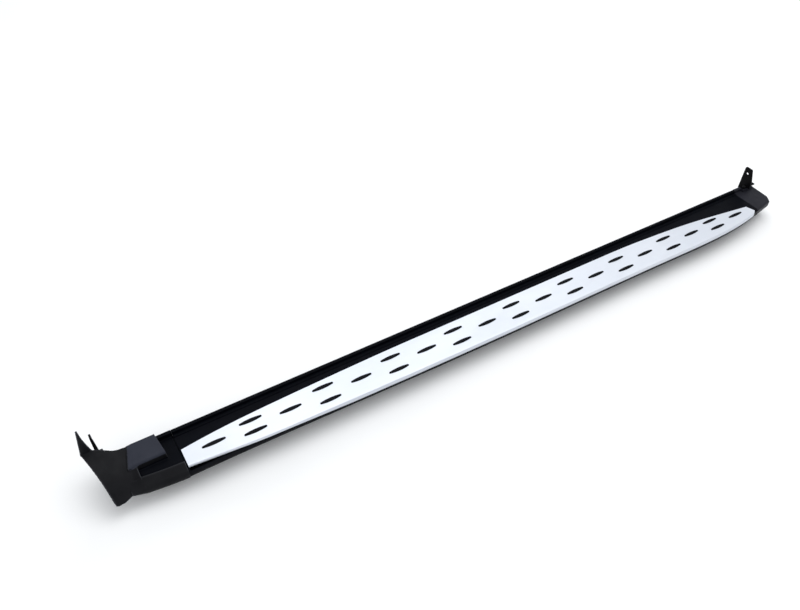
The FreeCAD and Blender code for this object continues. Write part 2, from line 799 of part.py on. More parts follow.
def support_beam():
    body = new_body("support_beam")
    profile = new_sketch(body, "BeamProfile", "YZ_Plane", f"{REAR}+{BEAM_REAR}")
    near, far = f"({BEAM_MIDDLE}-{BEAM_WIDTH}/2)", f"({BEAM_MIDDLE}+{BEAM_WIDTH}/2)"
    slot_near, slot_far = f"({BEAM_MIDDLE}-{BOLT_HOLE})", f"({BEAM_MIDDLE}+{BOLT_HOLE})"
    floor = f"({SHELL_BOTTOM}+beam_wall)"
    draw(profile, [
        (near, SHELL_BOTTOM),
        (slot_near, SHELL_BOTTOM),
        (slot_near, floor),
        (f"{near}+beam_wall", floor),
        (f"{near}+beam_wall", f"{BEAM_TOP}-beam_wall"),
        (f"{far}-beam_wall", f"{BEAM_TOP}-beam_wall"),
        (f"{far}-beam_wall", floor),
        (slot_far, floor),
        (slot_far, SHELL_BOTTOM),
        (far, SHELL_BOTTOM),
        (far, BEAM_TOP),
        (near, BEAM_TOP),
    ])
    pad(body, "BeamPad", profile, f"deck_length-{BEAM_REAR}-beam_front_gap")


def beam_plugs():
    height = f"({BEAM_TOP}-{SHELL_BOTTOM})"
    plugs = []
    ends = [(f"({REAR}+{BEAM_REAR})", "+"), (f"({FRONT}-beam_front_gap)", "-")]
    for number, (end, inward) in enumerate(ends):
        outward = "-" if inward == "+" else "+"
        flange_place = (f"{end}{outward}plug_sheet/2", BEAM_MIDDLE, SHELL_BOTTOM)
        flange = block(f"plug_flange_{number}", "plug_sheet", BEAM_WIDTH, height, flange_place)
        core_place = (f"{end}{inward}plug_length/2", BEAM_MIDDLE, f"{SHELL_BOTTOM}+beam_wall+screw_gap")
        core = block(f"plug_core_{number}", "plug_length", f"{BEAM_WIDTH}-2*(beam_wall+screw_gap)",
                     f"{height}-2*(beam_wall+screw_gap)", core_place)
        plugs.append(joined(f"plug_{number}", "Part::Fuse", flange, core))
    group("beam_plugs", plugs)


def sill_bracket(which, x):
    body = new_body(f"sill_bracket_{which}")
    side, strip = "bracket_width/2", "(bracket_width/2-bracket_flange_sheet)"
    outer, inner = f"({BEAM_MIDDLE}-bracket_past_beam)", "bracket_inboard"
    plan = new_sketch(body, f"Plate_{which}", "XY_Plane", "-bracket_sheet")
    draw(plan, [(f"-{side}", outer), (side, outer), (side, inner), (f"-{side}", inner)])
    pad(body, f"PlatePad_{which}", plan, "bracket_sheet")
    strips = new_sketch(body, f"Flanges_{which}", "XY_Plane", "-bracket_flange")
    for left, right in ((f"-{side}", f"-{strip}"), (strip, side)):
        draw(strips, [(left, outer), (right, outer), (right, inner), (left, inner)])
    pad(body, f"FlangePad_{which}", strips, "bracket_flange-bracket_sheet")
    bends = body.newObject("PartDesign::Fillet", f"Bends_{which}")
    bends.Base = (body.getObject(f"FlangePad_{which}"), level_edges(body.Shape, 0.0, "YLength", 80.0))
    bind(bends, Radius="bracket_flange_sheet")
    document.recompute()
    slots = new_sketch(body, f"Slots_{which}", "XY_Plane")
    for sign in "-+":
        draw(slots, slot_path(f"{sign}sill_bolt_spacing/2", "0", "slot_length", BOLT_HOLE, "first"))
        draw(slots, slot_path(f"{sign}bolt_spacing/2", BEAM_MIDDLE, "slot_length", BOLT_HOLE, "second"))
    pocket(body, f"SlotPocket_{which}", slots, "bracket_sheet")
    body.setExpression(".Placement.Base.x", cells(x))


def level_edges(shape, level, long_way, shortest):
    """Names of the straight edges at one height that run the long way."""
    names = []
    for number, edge in enumerate(shape.Edges, start=1):
        box = edge.BoundBox
        if box.ZLength < 1e-6 and abs(box.ZMin - level) < 1e-6 and getattr(box, long_way) > shortest:
            names.append(f"Edge{number}")
    return names


def isolator_pads():
    pads = []
    for number, x in enumerate(BRACKETS.values()):
        base = block(f"pad_base_{number}", "bracket_width", f"{BEAM_WIDTH}+2*pad_margin", "pad_sheet",
                     (x, BEAM_MIDDLE, "0"))
        for sign in "-+":
            bore_place = (f"{x}{sign}bolt_spacing/2", BEAM_MIDDLE, "0")
            bore = cylinder(f"pad_bore_{number}{sign}", BOLT_HOLE, "pad_sheet", bore_place)
            base = joined(f"pad_{number}{sign}", "Part::Cut", base, bore)
        pads.append(base)
    group("isolator_pads", pads)


def channel_bolts():
    bolts, washers, nuts = [], [], []
    head_level = f"({SHELL_BOTTOM}+beam_wall)"
    washer_level = "(-bracket_sheet-washer_sheet)"
    nut_level = "(-bracket_sheet-washer_sheet-nut_height)"
    end_level = "(-bracket_sheet-washer_sheet-nut_height-thread_end)"
    for number, (x, sign) in enumerate((x, sign) for x in BRACKETS.values() for sign in "-+"):
        place = (f"{x}{sign}bolt_spacing/2", BEAM_MIDDLE)
        shank = cylinder(f"channel_shank_{number}", "bolt_radius", f"{head_level}-{end_level}",
                         (*place, end_level))
        head = block(f"channel_head_{number}", "head_width", "head_width", "head_height",
                     (*place, head_level))
        bolts.append(joined(f"channel_bolt_{number}", "Part::Fuse", shank, head))
        disc = cylinder(f"washer_disc_{number}", "washer_radius", "washer_sheet", (*place, washer_level))
        eye = cylinder(f"washer_eye_{number}", "bolt_radius+thread_gap", "washer_sheet",
                       (*place, washer_level))
        washers.append(joined(f"washer_{number}", "Part::Cut", disc, eye))
        nuts.append(nut("channel_nut", number, "nut_width", "nut_height", "bolt_radius+thread_gap",
                        (*place, nut_level)))
    group("channel_bolts", bolts)
    group("channel_washers", washers)
    group("channel_nuts", nuts)


def sill_seal():
    body = new_body("sill_seal")
    profile = new_sketch(body, "SealProfile", "YZ_Plane", f"{REAR}+seal_end_gap")
    top = "(tread_top+rim_rise-seal_drop)"
    draw(profile, [
        (BACK, top),
        (BACK, f"{top}-seal_height"),
        (f"{BACK}+seal_sheet", f"{top}-seal_height+seal_chamfer"),
        (f"{BACK}+seal_sheet", f"{top}-seal_chamfer"),
    ])
    pad(body, "SealPad", profile, "deck_length-2*seal_end_gap")


# ---------------------------------------------------------------- front end

def front_cap():
    joint = value(f"{FRONT}+cap_gap")
    front, back = value(FRONT), value(BACK)
    end = front + value("front_cap_length")
    deck, bottom = value(DECK), value("tread_top-front_cap_depth")
    corner = back - value("deck_width-front_cap_step")
    plan = [
        (joint, back),
        (end - value("front_cap_back_corner"), back),
        (end, back - value("front_cap_end_back")),
        (end - value("front_cap_lean"), corner),
        (end - value("front_cap_corner_in"), corner - value("front_cap_corner_length")),
        (joint, front_y(front)),
    ]
    cap = prism(plan, bottom, deck)
    cap = rounded(cap, value("front_cap_nose"), bottom, lambda centre, box: centre.y < corner)
    edges = [edge for edge in cap.Edges
             if edge.BoundBox.ZMin > deck - 1e-6 and edge.CenterOfMass.y < corner]
    cap = cap.makeChamfer(value("front_cap_chamfer"), edges)
    wall = value("cap_wall")
    thick = wall + value("front_cap_chamfer")
    hollow = prism([(joint + wall, back - wall), (end - thick, back - wall), (end - thick, corner),
                    (joint + wall, front_y(front) + thick)], bottom - PAST, deck - wall)
    cap = cap.cut(hollow)
    seat_x = front + value("seat_start")
    rim_low = vector(joint, back - value("rim_width"), deck)
    rim = box_between(rim_low, vector(seat_x, back, value("tread_top+rim_rise")))
    seat_low = vector(seat_x, back - value("seat_width"), deck)
    seat = box_between(seat_low, vector(seat_x + value("seat_length"), back, value(SEAT_TOP)))
    cap = cap.fuse([rim, seat])
    wall_end = joint + wall + value("cap_nut_height")
    holes = [crosswise("cap_bolt_radius+screw_gap", joint - PAST, wall_end, *place)
             for place in end_bolt_places()]
    holes += [upright(value("cap_bolt_radius"), bottom, value(SEAT_TOP) + PAST, value(x), value(y))
              for x, y in tab_screw_places()]
    return feature("front_cap", cap.cut(holes))


def tab_screw_places():
    y = f"{BACK}-tab_screw_back"
    return [(f"{FRONT}+tab_place{place}", y) for place in ("-tab_screw_before", "+tab_screw_after")]


def front_tab():
    body = new_body("front_tab")
    foot = new_sketch(body, "FootPlan", "XY_Plane", SEAT_TOP)
    start, outboard = f"({FRONT}+seat_start+tab_foot_start)", f"({BACK}-tab_foot_width)"
    end = f"({start}+tab_foot_length)"
    draw(foot, [(start, outboard), (end, outboard), (end, BACK), (start, BACK)])
    pad(body, "FootPad", foot, "tab_sheet")
    upright_plan = new_sketch(body, "UprightPlan", "YZ_Plane", f"{FRONT}+tab_place")
    top, back_edge, front_edge = "(tread_top+tab_rise)", f"({BACK}+tab_back)", f"({BACK}-tab_front)"
    cut = f"{ROUND_MIDDLE}*tab_corner"
    draw(upright_plan, [
        (f"{BACK}-tab_base", SEAT_TOP),
        (f"{BACK}+cap_gap", SEAT_TOP),
        (f"{BACK}+cap_gap", "tread_top-tab_hook"),
        (back_edge, "tread_top-tab_hook"),
        (back_edge, f"{top}-tab_corner"),
        (f"{back_edge}-{cut}", f"{top}-{cut}", "via"),
        (f"{back_edge}-tab_corner", top),
        (f"{front_edge}+tab_corner", top),
        (f"{front_edge}+{cut}", f"{top}-{cut}", "via"),
        (front_edge, f"{top}-tab_corner"),
        (f"{BACK}-tab_base", "tread_top+tab_waist"),
    ])
    pad(body, "UprightPad", upright_plan, "tab_sheet")
    eye = new_sketch(body, "TabHole", "YZ_Plane", f"{FRONT}+tab_place+tab_sheet")
    draw_hole(eye, (f"{BACK}+tab_hole_back", "tread_top+tab_hole_rise"), "tab_hole_radius")
    pocket(body, "TabHolePocket", eye, "tab_sheet")
    screw_holes = new_sketch(body, "FootHoles", "XY_Plane", f"{SEAT_TOP}+tab_sheet")
    for place in tab_screw_places():
        draw_hole(screw_holes, place, "cap_bolt_radius+screw_gap")
    pocket(body, "FootHolesPocket", screw_holes, "tab_sheet")


def front_tab_fasteners():
    screws, nuts = [], []
    nut_level = f"({CAP_UNDER}-cap_nut_height)"
    for number, (x, y) in enumerate(tab_screw_places()):
        length = f"({SEAT_TOP}+tab_sheet-{nut_level}+1)"
        screws.append(headed("tab_screw", number, "cap_bolt_radius", length, "cap_bolt_head_radius",
                             "cap_bolt_head_height", (x, y, f"{nut_level}-1"), head_first=True))
        nuts.append(nut("tab_nut", number, "cap_nut_width", "cap_nut_height", "cap_bolt_radius+thread_gap",
                        (x, y, nut_level)))
    group("front_tab_screws", screws)
    group("front_tab_nuts", nuts)


def end_cap_fasteners():
    bolts, nuts = [], []
    reach = "(cap_gap+cap_wall+cap_nut_height+1)"
    for number, (y, level) in enumerate(end_bolt_places()):
        rear_place = lying(f"{REAR}-{reach}", y, level)
        bolts.append(headed("rear_cap_bolt", number, "cap_bolt_radius", f"{reach}+shell_wall",
                            "cap_bolt_head_radius", "cap_bolt_head_height", rear_place, head_first=True))
        front_place = lying(f"{FRONT}-shell_wall", y, level)
        bolts.append(headed("front_cap_bolt", number, "cap_bolt_radius", f"{reach}+shell_wall",
                            "cap_bolt_head_radius", "cap_bolt_head_height", front_place))
        ends = {"rear": f"{REAR}-cap_gap-cap_wall-cap_nut_height", "front": f"{FRONT}+cap_gap+cap_wall"}
        for end, x in ends.items():
            nuts.append(nut(f"{end}_cap_nut", number, "cap_nut_width", "cap_nut_height",
                            "cap_bolt_radius+thread_gap", lying(x, y, level)))
    group("end_cap_bolts", bolts, ALONG_X)
    group("end_cap_nuts", nuts, ALONG_X)


# ---------------------------------------------------------------- rear end

# How many curves the flap is lofted through, and the places on each.
FLAP_STATIONS = 6
FLAP_STEPS = 5
# The ellipse's share of the edge's fall, the bow of the edge in plan, and how fast the hollow levels out.
FLAP_BULGE = 0.6
FLAP_BOW = 0.3
FLAP_HOLLOW = 2.4
# The way the sheet's thickness is laid on, from its seen face to its hidden one.
FLAP_LEAN = FreeCAD.Vector(0.3, 0.6, -0.74)
# Where the fin's narrow top starts and ends, as shares of its width.
FIN_TIP = (0.40, 0.56)


def between(first, second, share):
    return first + (second - first) * share


def soft_step(share):
    """Rises from 0 to 1 over the middle half of the share, level at both ends."""
    run = min(max(2.0 * share - 0.5, 0.0), 1.0)
    return run * run * (3.0 - 2.0 * run)


def dip_shape(across):
    """Rises from 0 to 1 a third of the way across, and falls back to 0."""
    return 6.75 * across * (1.0 - across) ** 2


def flap_spot(down, across):
    """A place on the arch flap: down runs from its top to its foot, across from the wheel to the cap.

    The edge at the wheel is a straight fall with part of an ellipse added. The sheet falls away from
    that edge in a hollow, with a crest at the top that carries the fin and a dip at the foot.
    """
    foot_out = value("deck_width-flap_foot_front")
    fall = (1.0 - FLAP_BULGE) * down + FLAP_BULGE * (1.0 - math.sqrt(1.0 - down * down))
    edge_up = value("flap_top") - value("flap_top+flap_foot_drop") * fall
    edge_out = between(-value("flap_back"), foot_out, down)
    edge_along = value("flap_reach") - value("flap_edge_run") * (1.0 + FLAP_BOW * (1.0 - down)) * down
    root_up = value("flap_root_rise") - value("flap_root_rise+flap_root_drop") * down * down
    root_out = (foot_out - value("flap_root_in")) * down
    root_along = value("flap_root_start") + value("flap_root_run") * down
    crest = (1.0 - down) ** 2
    height = between((1.0 - across) ** FLAP_HOLLOW, 1.0 - soft_step(across), crest)
    dip = value("flap_foot_dip") * down ** 4 * dip_shape(across)
    return vector(value(REAR) - between(edge_along, root_along, across),
                  value(BACK) - between(edge_out, root_out, across),
                  value("tread_top") + between(root_up, edge_up, height) - dip)


def arch_flap():
    """The swept sheet: a loft through a curved line at each station, given its thickness."""
    lines = []
    for station in range(FLAP_STATIONS + 1):
        down = math.sin(station / FLAP_STATIONS * math.pi / 2)
        curve = Part.BSplineCurve()
        curve.interpolate([flap_spot(down, step / FLAP_STEPS) for step in range(FLAP_STEPS + 1)])
        lines.append(Part.Wire([curve.toShape()]))
    skin = Part.makeLoft(lines, False, False).Faces[0]
    return skin.extrude(FLAP_LEAN * value("flap_sheet"))


def arch_fin():
    tip = value("tread_top+fin_rise")
    x, y = value(f"{REAR}-flap_reach"), value(f"{BACK}+flap_back")
    base = value("tread_top+flap_top-fin_root")
    width = value("fin_width")
    ring = [
        vector(x, y, base),
        vector(x + width, y, base),
        vector(x + width * FIN_TIP[1], y, tip - PAST),
        vector(x + width * FIN_TIP[0], y, tip),
    ]
    return Part.Face(Part.makePolygon(ring + ring[:1])).extrude(vector(0, -value("flap_sheet"), 0))


def lip_slope():
    """What is cut away outboard of the rear cap's lip: a slope from the lip's crest down to the front."""
    rear, back = value(REAR), value(BACK)
    run = value("lip_slope_run")
    high, low = value("tread_top+pocket_edge_rise"), value("tread_top-lip_slope_drop")
    clear = high + value("lip_slope_drop")
    ends = []
    for along, crest in ((-5.0, "lip_crest_joint"), (value("rear_cap_length") + run, "lip_crest_end")):
        x, y = rear - along, back - value(f"deck_width-{crest}")
        far = y - 3 * run
        ring = [vector(x, y, high), vector(x, y - run, low), vector(x, far, low - run),
                vector(x, far, clear), vector(x, y, clear)]
        ends.append(Part.makePolygon(ring + ring[:1]))
    return Part.makeLoft(ends, True, True)


def rear_cap_front():
    """The cap's front face in plan: it sweeps inboard from the joint to the flap."""
    length, face = value("rear_cap_length"), front_y(value(REAR))
    sweep = value("rear_cap_sweep")
    spots = [vector(value(f"{REAR}-cap_gap"), face)]
    for along, inward in ((0.33, 0.14), (0.7, 0.54), (1.0, 1.0)):
        spots.append(vector(value(REAR) - along * length, face + inward * sweep))
    return spots


def rear_cap_base():
    """The hollow moulding under the block, the pocket and the lip."""
    rear, back, wall = value(REAR), value(BACK), value("cap_wall")
    bottom, top = value(SHELL_BOTTOM), value("tread_top+pocket_edge_rise")
    spots = rear_cap_front()
    joint, front_face, rear_front = spots[0].x, spots[0].y, spots[-1]
    side = front_face + value("rear_cap_side")
    rear_side = rear - value("block_gap+block_length")
    corners = [rear_front, vector(rear_front.x, side), vector(rear_side, back), vector(joint, back), spots[0]]
    curve = Part.BSplineCurve()
    curve.interpolate(spots)
    base = Part.Face(Part.Wire([curve.toShape()] + Part.makePolygon(corners).Edges))
    base.translate(vector(0, 0, bottom))
    base = base.extrude(vector(0, 0, top - bottom))
    middle = back - value("deck_width-rear_cap_side/2")
    base = rounded(base, value("rear_cap_nose"), bottom,
                   lambda centre, box: centre.y < middle and box.XLength > value("rear_cap_length/2"))
    base = base.cut(lip_slope())
    thick = wall + value("rear_cap_nose")
    inner_rear = rear_front.x + wall
    hollow = prism([(joint - wall, back - wall), (rear_side + wall, back - wall), (inner_rear, side),
                    (inner_rear, rear_front.y + thick), (joint - wall, front_face + thick)],
                   bottom - PAST, value("tread_top-pocket_drop") - wall)
    return base.cut(hollow)


def rear_cap_pocket():
    """The room that the pocket takes out of the base, open at the joint with the deck."""
    rear, length = value(REAR), value("rear_cap_length")
    open_end, rim = value(f"{REAR}-cap_gap") + PAST, value(BACK) - value("rim_width")
    lip = front_y(rear) + value("pocket_lip")
    corner = lip + value("pocket_corner")
    plan = [(open_end, rim), (rear - 0.6 * length, rim), (rear - 0.86 * length, corner + 34.0),
            (rear - 0.9 * length, corner + 6.0), (rear - 0.82 * length, corner), (open_end, lip)]
    return prism(plan, value("tread_top-pocket_drop"), value("tread_top+block_rise"))


def raised_block():
    """The block on the back of the cap, its top falling a little towards its rounded front."""
    back, low = value(BACK), value("tread_top-pocket_drop-cap_wall")
    right, high = value(f"{REAR}-block_gap"), value("tread_top+block_rise")
    left = right - value("block_length")
    front = back - value("deck_width-block_from_front")
    radius, slope = value("block_round"), value("block_slope")
    plan = [(right, back), (left, back), (left - value("block_front_in"), front + 4.0),
            (right + value("block_joint_in"), front + 2.0)]
    raised = rounded(prism(plan, low, high), radius, high, lambda centre, box: centre.y < front + radius)
    clear, over = front - 20.0, high + 30.0
    wedge = prism([(back, high + 0.1), (front, high - slope), (clear, high - slope * 1.4),
                   (clear, over), (back, over)], left - LONG / 20, right + LONG / 20)
    wedge.rotate(vector(0, 0, 0), vector(1, 1, 1), 120)
    return raised.cut(wedge)


def rear_cap():
    rear, back = value(REAR), value(BACK)
    joint = value(f"{REAR}-cap_gap")
    base = rear_cap_base().cut(rear_cap_pocket())
    bar_start, floor = rear - value("block_gap") - PAST, value("tread_top-pocket_drop")
    bar_low = vector(bar_start, back - value("rim_width"), floor)
    rim_bar = box_between(bar_low, vector(joint, back, value("tread_top+rim_rise")))
    cap = base.fuse([raised_block(), rim_bar, arch_flap(), arch_fin()] + prong_boss())
    holes = [crosswise("cap_bolt_radius+screw_gap", joint - 10.0, joint + PAST, *place)
             for place in end_bolt_places()]
    start = value(f"{REAR}-prong_place")
    end = start + value("screw_length") + PAST
    holes += [crosswise("screw_radius", start - PAST, end, *place) for place in prong_screw_places()]
    return feature("rear_cap", cap.cut(holes))


def prong_boss():
    """The block behind the flap that the steel tab is screwed to, and the rib that joins it to the flap."""
    rear, back = value(REAR), value(BACK)
    low = vector(rear - value("prong_place"), back - value("boss_front"), value("tread_top-boss_bottom"))
    near = rear - value("prong_place-boss_length")
    seat = box_between(low, vector(near, back + value("boss_back"), value("tread_top+boss_top")))
    rib = box_between(low, vector(near, back + value("boss_rib_back"), value("tread_top+boss_rib_top")))
    return [seat, rib]


def prong_screw_places():
    y = f"{BACK}+prong_back-prong_width/2"
    return [(y, f"tread_top-prong_screw_drop{step}") for step in ("", "+prong_screw_pitch")]


def arch_tab():
    body = new_body("arch_tab")
    plan = new_sketch(body, "ProngPlan", "YZ_Plane", f"{REAR}-prong_place-prong_sheet")
    near, far = f"({BACK}+prong_back-prong_width)", f"({BACK}+prong_back)"
    top, low = "(tread_top+prong_rise)", "(tread_top-prong_root)"
    cut = f"{ROUND_MIDDLE}*tab_corner"
    draw(plan, [
        (near, low),
        (far, low),
        (far, f"{top}-tab_corner"),
        (f"{far}-{cut}", f"{top}-{cut}", "via"),
        (f"{far}-tab_corner", top),
        (f"{near}+tab_corner", top),
        (f"{near}+{cut}", f"{top}-{cut}", "via"),
        (near, f"{top}-tab_corner"),
    ])
    pad(body, "ProngPad", plan, "prong_sheet")
    gusset = new_sketch(body, "GussetPlan", "XZ_Plane", f"-({near}+prong_sheet)")
    face = f"({REAR}-prong_place)"
    draw(gusset, [
        (face, "tread_top+prong_gusset_start"),
        (f"{face}+prong_gusset", "tread_top+prong_gusset_start"),
        (f"{face}+prong_gusset/4", f"{top}-tab_corner"),
        (face, f"{top}-tab_corner"),
    ])
    pad(body, "GussetPad", gusset, "prong_sheet")
    holes = new_sketch(body, "ProngHoles", "YZ_Plane", f"{REAR}-prong_place")
    draw_hole(holes, (f"({near}+{far})/2", f"{top}-prong_hole_drop"), "prong_hole_radius")
    for place in prong_screw_places():
        draw_hole(holes, place, "screw_radius+screw_gap")
    pocket(body, "ProngHolesPocket", holes, "prong_sheet")


def arch_tab_screws():
    screws = []
    for number, (y, level) in enumerate(prong_screw_places()):
        place = lying(f"({REAR}-prong_place-prong_sheet)", y, level)
        screws.append(headed("arch_screw", number, "screw_radius", "prong_sheet+screw_length",
                             "screw_head_radius", "screw_head_height", place))
    group("arch_tab_screws", screws, ALONG_X)


def build():
    fill_sheet()
    deck_shell()
    tread_plate()
    tread_nuts()
    grip_inserts()
    lower_cover()
    cover_screws()
    support_beam()
    beam_plugs()
    for which, x in BRACKETS.items():
        sill_bracket(which, x)
    isolator_pads()
    channel_bolts()
    sill_seal()
    front_cap()
    front_tab()
    front_tab_fasteners()
    end_cap_fasteners()
    rear_cap()
    arch_tab()
    arch_tab_screws()


def finish():
    document.recompute()
    for thing in document.Objects:
        if "Invalid" in thing.State or "Error" in thing.State:
            raise RuntimeError(f"{thing.Label} did not build: {thing.State}")
    os.makedirs("parts", exist_ok=True)
    for node in nodes:
        shape = node.Shape
        if shape.isNull() or not shape.isValid():
            raise RuntimeError(f"{node.Label} has no valid shape")
    for node in nodes:
        node.Shape.exportStep(f"parts/{node.Label}.step")
        print(f"{node.Label:22s} solids {len(node.Shape.Solids):3d}  {node.Shape.Volume:12.0f} mm3")


build()
finish()
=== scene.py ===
import json
import math
import bmesh
import bpy
from mathutils import Matrix, Vector


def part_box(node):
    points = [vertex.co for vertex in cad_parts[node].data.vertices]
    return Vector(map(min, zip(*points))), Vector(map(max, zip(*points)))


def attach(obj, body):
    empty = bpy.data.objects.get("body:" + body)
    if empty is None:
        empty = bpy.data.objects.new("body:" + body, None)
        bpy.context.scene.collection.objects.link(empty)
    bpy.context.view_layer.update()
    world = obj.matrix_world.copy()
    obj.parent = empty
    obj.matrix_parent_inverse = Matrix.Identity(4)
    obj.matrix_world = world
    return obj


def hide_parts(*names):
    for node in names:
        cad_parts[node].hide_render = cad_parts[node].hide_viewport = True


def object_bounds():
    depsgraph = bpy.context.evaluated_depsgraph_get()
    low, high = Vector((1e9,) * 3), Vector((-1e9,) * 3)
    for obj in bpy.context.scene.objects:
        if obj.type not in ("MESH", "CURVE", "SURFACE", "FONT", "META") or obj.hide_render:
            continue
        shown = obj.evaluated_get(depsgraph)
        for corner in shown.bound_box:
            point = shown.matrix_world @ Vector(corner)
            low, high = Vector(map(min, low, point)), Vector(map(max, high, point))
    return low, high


# Looks for the running board. Metres, in the part's frame: +X to the car's front,
# +Y inboard, +Z up.

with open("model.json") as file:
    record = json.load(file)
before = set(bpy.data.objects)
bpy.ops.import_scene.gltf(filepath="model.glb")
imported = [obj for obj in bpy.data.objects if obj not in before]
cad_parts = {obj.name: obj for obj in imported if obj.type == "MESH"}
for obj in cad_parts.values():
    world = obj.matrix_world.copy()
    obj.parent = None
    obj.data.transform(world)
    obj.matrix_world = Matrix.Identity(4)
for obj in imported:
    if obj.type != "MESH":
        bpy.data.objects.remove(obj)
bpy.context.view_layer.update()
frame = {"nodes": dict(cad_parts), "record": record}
MM = 0.001

BODY = "root"
NODES = frame["nodes"]
DECK_LOW, DECK_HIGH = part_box("deck_shell")
REAR_LOW, REAR_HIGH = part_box("rear_cap")
TREAD_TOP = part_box("tread_plate")[1].z


# ---------------------------------------------------------------- materials

def socket_set(shader, **values):
    for name, value in values.items():
        shader.inputs[name.replace("_", " ")].default_value = value


def node_of(tree, kind, **settings):
    node = tree.nodes.new(kind)
    for name, value in settings.items():
        setattr(node, name, value)
    return node


def noise(tree, scale, detail=3.0, stretch=(1.0, 1.0, 1.0), roughness=0.5):
    """Noise in object space: features per metre, with each axis stretched by its own factor."""
    place = tree.nodes.new("ShaderNodeTexCoord")
    mapping = tree.nodes.new("ShaderNodeMapping")
    mapping.inputs["Scale"].default_value = stretch
    texture = tree.nodes.new("ShaderNodeTexNoise")
    texture.inputs["Scale"].default_value = scale
    texture.inputs["Detail"].default_value = detail
    texture.inputs["Roughness"].default_value = roughness
    tree.links.new(place.outputs["Object"], mapping.inputs["Vector"])
    tree.links.new(mapping.outputs["Vector"], texture.inputs["Vector"])
    return texture.outputs["Fac"]


def cells(tree, scale):
    """Small rounded cells in object space, as moulded grain has."""
    place = tree.nodes.new("ShaderNodeTexCoord")
    texture = node_of(tree, "ShaderNodeTexVoronoi", feature="SMOOTH_F1")
    texture.inputs["Scale"].default_value = scale
    tree.links.new(place.outputs["Object"], texture.inputs["Vector"])
    return texture.outputs["Distance"]


def ranged(tree, source, low, high, start=0.3, stop=0.7):
    """The source's stretch from start to stop, spread from low to high."""
    span = node_of(tree, "ShaderNodeMapRange", clamp=True)
    tree.links.new(source, span.inputs["Value"])
    for name, value in (("From Min", start), ("From Max", stop), ("To Min", low), ("To Max", high)):
        span.inputs[name].default_value = value
    return span.outputs["Result"]


def blended(tree, source, first, second, start=0.3, stop=0.7):
    """A colour between two, by the source."""
    mix = node_of(tree, "ShaderNodeMix", data_type="RGBA")
    tree.links.new(ranged(tree, source, 0.0, 1.0, start, stop), mix.inputs["Factor"])
    mix.inputs["A"].default_value = (*first, 1.0)
    mix.inputs["B"].default_value = (*second, 1.0)
    return mix.outputs["Result"]


def bumped(tree, shader, heights):
    """Chains bumps onto the shader: each is (source, distance in metres, strength)."""
    last = None
    for source, distance, strength in heights:
        bump = tree.nodes.new("ShaderNodeBump")
        bump.inputs["Distance"].default_value = distance
        bump.inputs["Strength"].default_value = strength
        tree.links.new(source, bump.inputs["Height"])
        if last:
            tree.links.new(last, bump.inputs["Normal"])
        last = bump.outputs["Normal"]
    tree.links.new(last, shader.inputs["Normal"])


def new_material(name):
    material = bpy.data.materials.new(name)
    material.use_nodes = True
    tree = material.node_tree
    return material, tree, tree.nodes["Principled BSDF"]


def painted_edge_highlight(tree, tone, highlight_colour):
    """The tone, with a painted highlight colour where the surface turns sharply outwards."""
    shape = tree.nodes.new("ShaderNodeNewGeometry")
    tone_mix = node_of(tree, "ShaderNodeMix", data_type="RGBA")
    # Painted highlight: sharp outward edges, such as the lip's crest, are lightened to stand in for the
    # glint they catch.
    amount = ranged(tree, shape.outputs["Pointiness"], 0.0, 1.0, 0.507, 0.56)
    tree.links.new(amount, tone_mix.inputs["Factor"])
    tree.links.new(tone, tone_mix.inputs["A"])
    tone_mix.inputs["B"].default_value = (*highlight_colour, 1.0)
    return tone_mix.outputs["Result"]


def moulded_plastic(name, dark, light, grain, depth, rough, gloss, highlight_colour=None):
    """Injection-moulded plastic: fine cell grain, cloudy tone, patchy gloss, and a painted highlight on
    sharp edges.
    """
    material, tree, shader = new_material(name)
    tone = blended(tree, noise(tree, 26.0, 4.0), dark, light)
    if highlight_colour:
        tone = painted_edge_highlight(tree, tone, highlight_colour)
    tree.links.new(tone, shader.inputs["Base Color"])
    tree.links.new(ranged(tree, noise(tree, 60.0, 5.0), rough[0], rough[1]), shader.inputs["Roughness"])
    socket_set(shader, Specular_IOR_Level=gloss)
    bumped(tree, shader, [(cells(tree, grain), depth, 0.55), (noise(tree, grain * 0.35), depth, 0.35)])
    return material


def anodised_sheet(name):
    """Bright satin sheet: fine lines along the board, soft clouding, faint scuffs."""
    material, tree, shader = new_material(name)
    along = (0.02, 1.0, 1.0)
    lines = noise(tree, 1500.0, 2.0, along)
    cloud = noise(tree, 9.0, 4.0, (0.35, 1.0, 1.0))
    scuffs = noise(tree, 240.0, 6.0, (0.12, 1.0, 1.0), 0.72)
    tone = blended(tree, cloud, (0.60, 0.635, 0.70), (0.68, 0.71, 0.77))
    tone_mix = node_of(tree, "ShaderNodeMix", data_type="RGBA", blend_type="MULTIPLY")
    tree.links.new(ranged(tree, scuffs, 0.0, 0.25, 0.58, 0.72), tone_mix.inputs["Factor"])
    tree.links.new(tone, tone_mix.inputs["A"])
    tone_mix.inputs["B"].default_value = (0.86, 0.88, 0.9, 1.0)
    tree.links.new(tone_mix.outputs["Result"], shader.inputs["Base Color"])
    tree.links.new(ranged(tree, lines, 0.34, 0.5), shader.inputs["Roughness"])
    socket_set(shader, Metallic=0.55, Specular_IOR_Level=0.5)
    bumped(tree, shader, [(lines, 0.00002, 0.35), (cloud, 0.0006, 0.12)])
    return material


def metal(name, base, shade, rough, lines=(1.0, 1.0, 1.0), scale=900.0):
    """Bare or plated metal with fine lines, tone patches and uneven gloss."""
    material, tree, shader = new_material(name)
    tree.links.new(blended(tree, noise(tree, 55.0, 5.0), shade, base), shader.inputs["Base Color"])
    fine = noise(tree, scale, 3.0, lines)
    tree.links.new(ranged(tree, fine, rough[0], rough[1]), shader.inputs["Roughness"])
    socket_set(shader, Metallic=1.0)
    bumped(tree, shader, [(fine, 0.00003, 0.4)])
    return material


